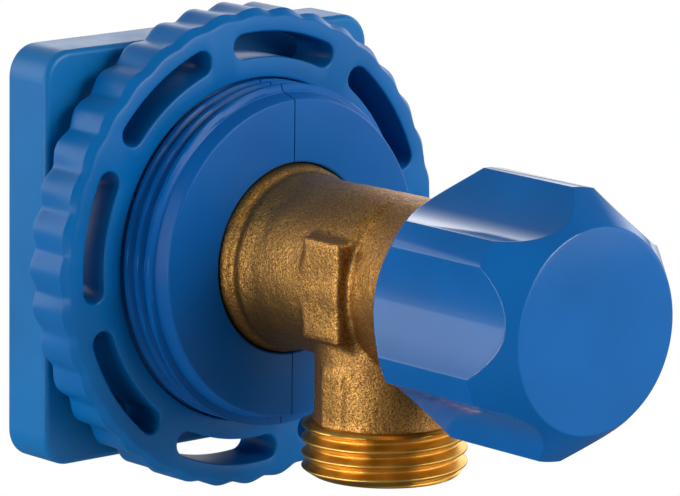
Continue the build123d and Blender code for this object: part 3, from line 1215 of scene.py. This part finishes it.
@dataclass
class SplitHub:
    """Threaded hub in two half shells.

    Attributes:
        thread: Form of the thread for the ring nut.
        thread_gap: From the plate's front to the thread.
        thread_slack: Distance between the thread's ends and the rows beside them.
        turn_rows: Rows of points for each turn of the thread.
        nose_length: Length of the plain nose.
        nose_radius: Radius of the nose at the thread.
        face_radius: Radius of the nose at the face.
        nose_slope: Angle of the nose's normal at the face, in degrees.
        edge: Rounding of the face's edges.
        edge_steps: Divisions of that rounding.
        flange_radius: Radius of the flange in the plate.
        flange_flats: Size across the flange's flats.
        flange_depth: Thickness of the flange.
        neck: Radius of the plain neck in the plate.
        neck_gap: From the plate's front to the neck's end.
        recess_radius: Radius of the recess at the back.
        recess_depth: Its depth.
        bore: Radius of the bore round the body's neck.
        pocket_radius: Radius of the pocket for the body's collar.
        pocket_back: Where the pocket starts.
        pocket_front: Where it ends.
        bell_bore: Radius of the bore at the face.
        bell_depth: Depth of that bore.
        gap: Half the gap between the halves.
        crease: Angle above which an edge stays sharp, in degrees.
    """

    thread: ThreadForm = ThreadForm(22.0, 0.9, 2.06, 0.3, 0.1)
    thread_gap: float = 0.35
    thread_slack: float = 0.01
    turn_rows: int = 18
    nose_length: float = 2.1
    nose_radius: float = 21.0
    face_radius: float = 20.5
    nose_slope: float = 10.0
    edge: float = 0.35
    edge_steps: int = 5
    flange_radius: float = 24.0
    flange_flats: float = 45.2
    flange_depth: float = 3.0
    neck: float = 21.1
    neck_gap: float = 0.3
    recess_radius: float = 14.5
    recess_depth: float = 3.5
    bore: float = 10.78
    pocket_radius: float = 13.97
    pocket_back: float = 8.4
    pocket_front: float = 14.6
    bell_bore: float = 12.25
    bell_depth: float = 5.0
    gap: float = 0.08
    crease: float = 35.0
    lathe: Lathe = field(default_factory=lambda: Lathe(144))

    def outline(self, front: float, plate_front: float) -> list[Pair]:
        """Draws the closed half section of the hub.

        Args:
            front: Forward place of the face.
            plate_front: Forward place of the plate's front.

        Returns:
            The points, from the back round the outside.
        """
        nose_back, bell_back, edge = front - self.nose_length, front - self.bell_depth, self.edge
        crest, start = self.thread.major, plate_front + self.thread_gap
        points = [(self.recess_radius, 0.0), (self.flange_radius, 0.0)]
        points += [(self.flange_radius, self.flange_depth), (self.neck, self.flange_depth)]
        points.append((self.neck, plate_front + self.neck_gap))
        rows = int((nose_back - plate_front - self.thread_gap) / self.thread.pitch * self.turn_rows)
        points += fill((crest, start), (crest, nose_back - 2 * self.thread_slack), rows)
        points.append((self.nose_radius, nose_back))
        points += arc((self.face_radius - edge, front - edge), edge, self.nose_slope, 90, self.edge_steps)
        points += arc((self.bell_bore + edge, front - edge), edge, 90, 180, self.edge_steps)
        points += [(self.bell_bore, bell_back), (self.bore, bell_back)]
        points += [(self.bore, self.pocket_front), (self.pocket_radius, self.pocket_front)]
        points += [(self.pocket_radius, self.pocket_back), (self.bore, self.pocket_back)]
        points += [(self.bore, self.recess_depth), (self.recess_radius, self.recess_depth)]
        return points

    def build(self, finishes: Finishes) -> None:
        """Builds both halves and puts them on the valve.

        Args:
            finishes: The object's materials.
        """
        front, plate_front = span("hub_half_left")[1], span("wall_plate")[1]
        outline = self.outline(front, plate_front)
        start = plate_front + self.thread_gap - self.thread_slack
        end = front - self.nose_length - self.thread_slack
        for node, side in (("hub_half_left", -1.0), ("hub_half_right", 1.0)):
            bm = bmesh.new()
            self.lathe.sector(bm, outline, side, self.gap)
            self.cut_flats(bm)
            obj = new_object(f"{node}_threaded", bm)
            ThreadTree(self.thread, start, end).run(obj, finishes.hub)
            place(obj, LATHE_TO_ROW, self.crease)
            dress(obj, Body.VALVE, "hub_plastic", node)

    def cut_flats(self, bm: BMesh) -> None:
        """Draws the flange in to its flats, above and below.

        Args:
            bm: One half of the hub.
        """
        half = self.flange_flats / 2
        for vert in bm.verts:
            if vert.co.z <= self.flange_depth:
                vert.co.y = max(-half, min(half, vert.co.y))


@dataclass
class PipeThread:
    """Threaded end of the brass body: a sleeve with a cut pipe thread.

    Attributes:
        name: The piece's name.
        bore: Radius of the passage.
        length: Length along the axis.
        back_chamfer: Chamfer at the end that joins the casting.
        matrix: From the lathe frame, with the open end at zero, to the row frame in millimetres.
        form: Form of the thread.
        chamfer: Chamfer at the open end.
        lead_in: Share of the thread's height by which the end face is smaller still.
        mouth: Chamfer of the passage.
        row_gap: Distance of the thread's rows from the chamfers.
        turn_rows: Rows of points for each turn of the thread.
        chamfer_steps: Divisions of the chamfers at the open end and at the casting.
        overrun: How far the thread is cut past both ends.
        crease: Angle above which an edge stays sharp, in degrees.
    """

    name: str
    bore: float
    length: float
    back_chamfer: float
    matrix: Matrix
    form: ThreadForm = ThreadForm(20.955 / 2, 1.1, 1.814, 0.12, 0.08)
    chamfer: float = 0.8
    lead_in: float = 0.4
    mouth: float = 0.5
    row_gap: float = 0.05
    turn_rows: int = 20
    chamfer_steps: tuple[int, int] = (8, 4)
    overrun: float = 1.0
    crease: float = 60.0
    lathe: Lathe = field(default_factory=lambda: Lathe(216))

    def outline(self) -> list[Pair]:
        """Returns the closed half section, from the passage round the open end to the back."""
        major, length = self.form.major, self.length
        rows = int(length / self.form.pitch * self.turn_rows)
        last = length - self.back_chamfer
        points = [(self.bore, length), (self.bore, self.mouth), (self.bore + self.mouth, 0.0)]
        face = major - self.chamfer - self.form.depth * self.lead_in
        points += fill((face, 0.0), (major, self.chamfer), self.chamfer_steps[0])
        points += fill((major, self.chamfer + self.row_gap), (major, last - self.row_gap), rows)
        return points + fill((major, last), (major - self.back_chamfer, length), self.chamfer_steps[1])

    def build(self, finish: Material) -> None:
        """Builds the threaded end and puts it on the valve.

        Args:
            finish: The cut brass.
        """
        bm = bmesh.new()
        self.lathe.turn(bm, self.outline())
        obj = new_object(self.name, bm)
        ThreadTree(self.form, -self.overrun, self.length + self.overrun).run(obj, finish)
        place(obj, self.matrix, self.crease)
        dress(obj, Body.VALVE, "cast_brass")


@dataclass
class BrassBody:
    """Cast brass body with its two cut threads.

    Attributes:
        voxel: Size of the cells from which the cast skin is made.
        smooth_steps: Smoothing of the cast edges.
        smooth_factor: Strength of each smoothing.
        skin: Form of the cast skin.
        inlet_thread_front: Forward place where the inlet thread ends.
        inlet_bore: Radius of the inlet passage.
        inlet_chamfer: Chamfer of the inlet thread at the casting.
        outlet_collar: Length of the outlet's threaded collar.
        outlet_overlap: How far the collar reaches into the casting.
        outlet_bore: Radius of the outlet passage.
        outlet_chamfer: Chamfer of the outlet thread at the casting.
        outlet_forward: Forward place of the outlet's axis.
    """

    voxel: float = 0.36
    smooth_steps: int = 9
    smooth_factor: float = 0.5
    skin: CastForm = CastForm((0.16, 3.2), (0.12, 0.8), 1.6, 1.0, 0.36, 9.0, 10.0)
    inlet_thread_front: float = 2.0
    inlet_bore: float = 7.0
    inlet_chamfer: float = 0.3
    outlet_collar: float = 6.7
    outlet_overlap: float = 0.2
    outlet_bore: float = 6.4
    outlet_chamfer: float = 0.6
    outlet_forward: float = 42.1

    def build(self, finishes: Finishes) -> None:
        """Builds the casting and its threads and puts them on the valve.

        Args:
            finishes: The object's materials.
        """
        low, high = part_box("valve_body")
        tail, bottom = high.y / MM, low.z / MM
        self.build_casting(bottom, finishes.cast)
        inlet = Matrix.Translation((0, tail, 0)) @ LATHE_TO_ROW
        length = tail + self.inlet_thread_front
        PipeThread("inlet_thread", self.inlet_bore, length, self.inlet_chamfer, inlet).build(finishes.cut)
        outlet = Matrix.Translation((0, -self.outlet_forward, bottom))
        length = self.outlet_collar + self.outlet_overlap
        PipeThread("outlet_thread", self.outlet_bore, length, self.outlet_chamfer, outlet).build(finishes.cut)

    def build_casting(self, bottom: float, finish: Material) -> None:
        """Builds the casting without its threaded ends.

        Args:
            bottom: Height of the outlet's end.
            finish: The cast brass.
        """
        obj = merged_copy("valve_body", "valve_body_casting")
        self.cut(obj, Vector((0, -self.inlet_thread_front, 0)), Vector((0, 1, 0)))
        self.cut(obj, Vector((0, 0, bottom + self.outlet_collar)), Vector((0, 0, -1)))
        remesh = obj.modifiers.new("cells", "REMESH")
        remesh.mode = "VOXEL"
        remesh.voxel_size = self.voxel
        smooth = obj.modifiers.new("smooth", "SMOOTH")
        smooth.factor = self.smooth_factor
        smooth.iterations = self.smooth_steps
        settle(obj)
        CastSkinTree(self.skin, span("hub_half_left")[1]).run(obj, finish)
        place(obj, Matrix.Identity(4), ALL_SMOOTH)
        dress(obj, Body.VALVE, "cast_brass", "valve_body")

    @staticmethod
    def cut(obj: Object, point: Vector, outward: Vector) -> None:
        """Cuts off what lies beyond a plane and closes the section, hollow passages left open.

        Args:
            obj: The object to cut.
            point: A point of the plane.
            outward: Direction of the part that goes.
        """
        bm = bmesh.new()
        bm.from_mesh(obj.data)
        parts = bm.verts[:] + bm.edges[:] + bm.faces[:]
        plane = {"plane_co": point, "plane_no": outward, "dist": WELD}
        cut = bmesh.ops.bisect_plane(bm, geom=parts, clear_outer=True, **plane)
        rim = [part for part in cut["geom_cut"] if isinstance(part, BMEdge)]
        bmesh.ops.triangle_fill(bm, use_beauty=True, edges=rim, normal=outward)
        bmesh.ops.recalc_face_normals(bm, faces=bm.faces)
        bm.to_mesh(obj.data)
        bm.free()


class KeptSolids:
    """The wall plate and the inner pieces, which keep their own solids and get their finishes."""

    @staticmethod
    def build(finishes: Finishes) -> None:
        """Gives each of these nodes its finish.

        Args:
            finishes: The object's materials.
        """
        table = {
            "wall_plate": finishes.plate,
            "bonnet": finishes.turned,
            "bonnet_gasket": finishes.rubber,
            "spindle": finishes.turned,
            "spindle_o_rings": finishes.rubber,
            "slide_washer": finishes.white,
            "retaining_clip": finishes.steel,
            "plunger": finishes.turned,
            "valve_washer": finishes.rubber,
            "washer_screw": finishes.turned,
            "snap_insert": finishes.white,
        }
        for node, finish in table.items():
            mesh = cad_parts[node].data
            mesh.materials.clear()
            mesh.materials.append(finish)
            LOG.info("%s: solid kept", node)


@dataclass(frozen=True)
class SoftLamp:
    """A rectangular studio lamp that points at the object.

    Attributes:
        name: The lamp's name.
        place: Where it hangs, in metres.
        size: Its two sides, in metres.
        power: Its power, in watts.
    """

    name: str
    place: Triple
    size: Pair
    power: float

    def hang(self, target: Vector) -> None:
        """Hangs the lamp.

        Args:
            target: The point that it faces.
        """
        lamp = bpy.data.lights.new(self.name, "AREA")
        lamp.shape = "RECTANGLE"
        lamp.size, lamp.size_y = self.size
        lamp.energy = self.power
        obj = bpy.data.objects.new(self.name, lamp)
        obj.location = self.place
        obj.rotation_euler = (target - Vector(self.place)).to_track_quat("-Z", "Y").to_euler()
        bpy.context.scene.collection.objects.link(obj)


@dataclass(frozen=True)
class Glow:
    """Bright patch of the studio's walls.

    Attributes:
        facing: Level direction of its middle.
        sides: Nearness to that direction, as a cosine, where it begins and where it is full.
        foot: Sines of the heights where it begins and where it is full.
        head: Sines of the heights where it starts to fade and where it has gone.
        strength: Its brightness.
    """

    facing: Pair
    sides: Pair
    foot: Pair
    head: Pair
    strength: float

    def shine(self, writer: TreeWriter, way: Socket, height: Socket) -> Socket:
        """Adds the patch to the world's nodes.

        Args:
            writer: Writes into the world's tree.
            way: Direction of the ray.
            height: The direction's Z.

        Returns:
            The patch's brightness in that direction.
        """
        near = writer.node("ShaderNodeVectorMath", operation="DOT_PRODUCT")
        writer.feed(near.inputs[0], way)
        writer.feed(near.inputs[1], (*self.facing, 0.0))
        across = writer.spread(near.outputs["Value"], 0.0, self.strength, *self.sides)
        low = writer.spread(height, 0.0, 1.0, *self.foot)
        high = writer.spread(height, 1.0, 0.0, *self.head)
        return writer.math("MULTIPLY", across, writer.math("MULTIPLY", low, high))


LAMPS = (
    SoftLamp("key", (-0.75, 0.42, 0.28), (1.2, 0.63), 3.2),
    SoftLamp("front", (0.16, -0.58, 0.26), (0.3, 0.3), 2.5),
    SoftLamp("low", (-0.45, -0.06, -0.04), (0.25, 0.05), 0.42),
)
GLOWS = (
    Glow((0.66, 0.75), (0.35, 0.6), (-0.02, 0.2), (0.3, 0.58), 2.4),
    Glow((-0.67, 0.74), (0.55, 0.75), (-0.3, -0.05), (0.3, 0.62), 1.5),
    Glow((0.66, -0.75), (0.8, 0.9), (-0.165, -0.15), (0.5, 0.6), 1.5),
    Glow((0.66, -0.75), (0.7, 0.85), (-0.6, -0.4), (0.5, 0.6), 0.5),
)


@dataclass
class Studio:
    """Pale floor, soft light and the camera.

    Attributes:
        floor_drop: Distance of the floor below the object, in metres.
        floor_size: Side of the floor, in metres.
        floor_front: Where the floor starts in front of the object, in metres.
        floor_colour: The floor's own colour.
        floor_shade: Brightness of the floor's glow under the object as reflections show it, a painted shadow.
        floor_far: The same far from the object.
        floor_fade: Distances in millimetres over which that painted shadow fades.
        shadow_share: Share of the floor's own shading, with the object's shadow, right under the object.
        shadow_fade: Distances in millimetres over which that share fades.
        sky: Brightness of the surroundings.
        target: Point that the camera looks at, in metres.
        azimuth: Direction of the camera round the object, in degrees.
        elevation: Height of the camera, in degrees.
        roll: Turn of the camera about its own axis, in degrees.
        focal: Focal length in pixels of the image.
        scale: Pixels for each millimetre at the target.
        sensor: Width of the sensor, in millimetres.
    """

    floor_drop: float = 0.05
    floor_size: float = 10.0
    floor_front: float = -0.2
    floor_colour: Triple = (0.82, 0.82, 0.82)
    floor_shade: float = 0.08
    floor_far: float = 1.3
    floor_fade: Pair = (60.0, 1250.0)
    shadow_share: float = 0.35
    shadow_fade: Pair = (50.0, 170.0)
    sky: float = 0.22
    target: Triple = (0.007114, -0.025, 0.000529)
    azimuth: float = -41.061
    elevation: float = 11.467
    roll: float = 0.684
    focal: float = 6000.0
    scale: float = 7.847
    sensor: float = 36.0

    def build(self) -> None:
        """Sets up the floor, the world, the lamps and the camera."""
        scene = bpy.context.scene
        scene.view_settings.view_transform = "Standard"
        self.lay_floor()
        self.light_world(scene)
        for lamp in LAMPS:
            lamp.hang(Vector(self.target))
        self.set_camera(scene)

    def lay_floor(self) -> None:
        """Lays a pale floor, white to the camera but for the object's shadow, with a painted shadow under the
        object in reflections, and clear from below.
        """
        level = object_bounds()[0][2] - self.floor_drop
        half, near, far = self.floor_size / 2, self.floor_front, self.floor_front + self.floor_size
        mesh = bpy.data.meshes.new("floor")
        sheet = [(-half, near, level), (half, near, level), (half, far, level), (-half, far, level)]
        mesh.from_pydata(sheet, [], [(0, 1, 2, 3)])
        floor = bpy.data.objects.new("floor", mesh)
        bpy.context.scene.collection.objects.link(floor)
        mesh.materials.append(self.floor_paper(level))
        floor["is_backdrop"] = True

    def floor_paper(self, level: float) -> Material:
        """Makes the floor's material.

        Args:
            level: Height of the floor, in metres.

        Returns:
            The material.
        """
        surface = Surface("floor_paper")
        surface.set(Base_Color=(*self.floor_colour, 1), Roughness=0.9, Specular_IOR_Level=0.1)
        glow = surface.node("ShaderNodeEmission")
        surface.feed(glow.inputs["Color"], (1, 1, 1, 1))
        away = surface.node("ShaderNodeVectorMath", operation="DISTANCE")
        surface.feed(away.inputs[0], surface.place)
        surface.feed(away.inputs[1], (self.target[0] / MM, self.target[1] / MM, level / MM))
        distance = away.outputs["Value"]
        # Painted shadow: to glossy rays the floor glows dark under the object and brighter far from it.
        painted_shadow_glow = surface.spread(distance, self.floor_shade, self.floor_far, *self.floor_fade)
        camera = surface.node("ShaderNodeLightPath").outputs["Is Camera Ray"]
        surface.feed(glow.inputs["Strength"], surface.math("MAXIMUM", camera, painted_shadow_glow))
        shadow = surface.spread(distance, self.shadow_share, 0.0, *self.shadow_fade)
        shaded = surface.math("MULTIPLY", camera, shadow)
        lit = surface.mix(surface.math("SUBTRACT", seen_directly(surface), shaded), surface.shader, glow)
        under = surface.node("ShaderNodeNewGeometry").outputs["Backfacing"]
        whole = surface.mix(under, lit, surface.node("ShaderNodeBsdfTransparent"))
        surface.feed(surface.tree.nodes["Material Output"].inputs[0], whole.outputs[0])
        return surface.material

    def light_world(self, scene: Scene) -> None:
        """Lights the scene with pale walls under a darker sky, all white to the camera.

        Args:
            scene: The scene that gets the world.
        """
        world = bpy.data.worlds.new("studio")
        world.use_nodes = True
        writer = TreeWriter(world.node_tree)
        sky = world.node_tree.nodes["Background"]
        sky.inputs["Color"].default_value = (1, 1, 1, 1)
        way = writer.node("ShaderNodeTexCoord").outputs["Generated"]
        parts = writer.node("ShaderNodeSeparateXYZ")
        writer.feed(parts.inputs[0], way)
        bright = writer.math("MAXIMUM", writer.node("ShaderNodeLightPath").outputs["Is Camera Ray"], self.sky)
        for glow in GLOWS:
            bright = writer.math("MAXIMUM", bright, glow.shine(writer, way, parts.outputs[2]))
        writer.feed(sky.inputs["Strength"], bright)
        scene.world = world

    def set_camera(self, scene: Scene) -> None:
        """Places the camera at the photograph's viewing angle.

        Args:
            scene: The scene that gets the camera.
        """
        turn, rise = math.radians(self.azimuth), math.radians(self.elevation)
        back = Vector((math.sin(turn) * math.cos(rise), -math.cos(turn) * math.cos(rise), math.sin(rise)))
        right = Vector((math.cos(turn), math.sin(turn), 0))
        up = back.cross(right)
        lean = math.radians(self.roll)
        across = right * math.cos(lean) + up * math.sin(lean)
        upward = up * math.cos(lean) - right * math.sin(lean)
        distance = self.focal / self.scale * MM
        eye = Vector(self.target) + back * distance
        lens = bpy.data.cameras.new("camera")
        lens.sensor_fit = "HORIZONTAL"
        lens.sensor_width = self.sensor
        lens.lens = self.focal * self.sensor / IMAGE_WIDTH
        lens.clip_start = 0.01
        lens.clip_end = 50
        obj = bpy.data.objects.new("camera", lens)
        axes = Matrix((across, upward, back)).transposed().to_4x4()
        obj.matrix_world = Matrix.Translation(eye) @ axes
        scene.collection.objects.link(obj)
        scene.camera = obj


def seen_directly(writer: TreeWriter) -> Socket:
    """Tells the rays that see a thing from the light that falls on others.

    Args:
        writer: Writes into a material's tree.

    Returns:
        1 for camera, glossy and transmission rays, and 0 for the rest.
    """
    path = writer.node("ShaderNodeLightPath")
    seen = writer.math("MAXIMUM", path.outputs["Is Camera Ray"], path.outputs["Is Glossy Ray"])
    return writer.math("MAXIMUM", seen, path.outputs["Is Transmission Ray"])


def main() -> None:
    """Builds the pieces in order, then the studio."""
    logging.basicConfig(level=logging.INFO, format="%(name)s: %(message)s")
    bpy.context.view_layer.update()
    finishes = Finishes()
    for part in (KeptSolids(), BrassBody(), SplitHub(), RingNut(), Knob()):
        part.build(finishes)
    Studio().build()


if __name__ == "__main__":
    main()
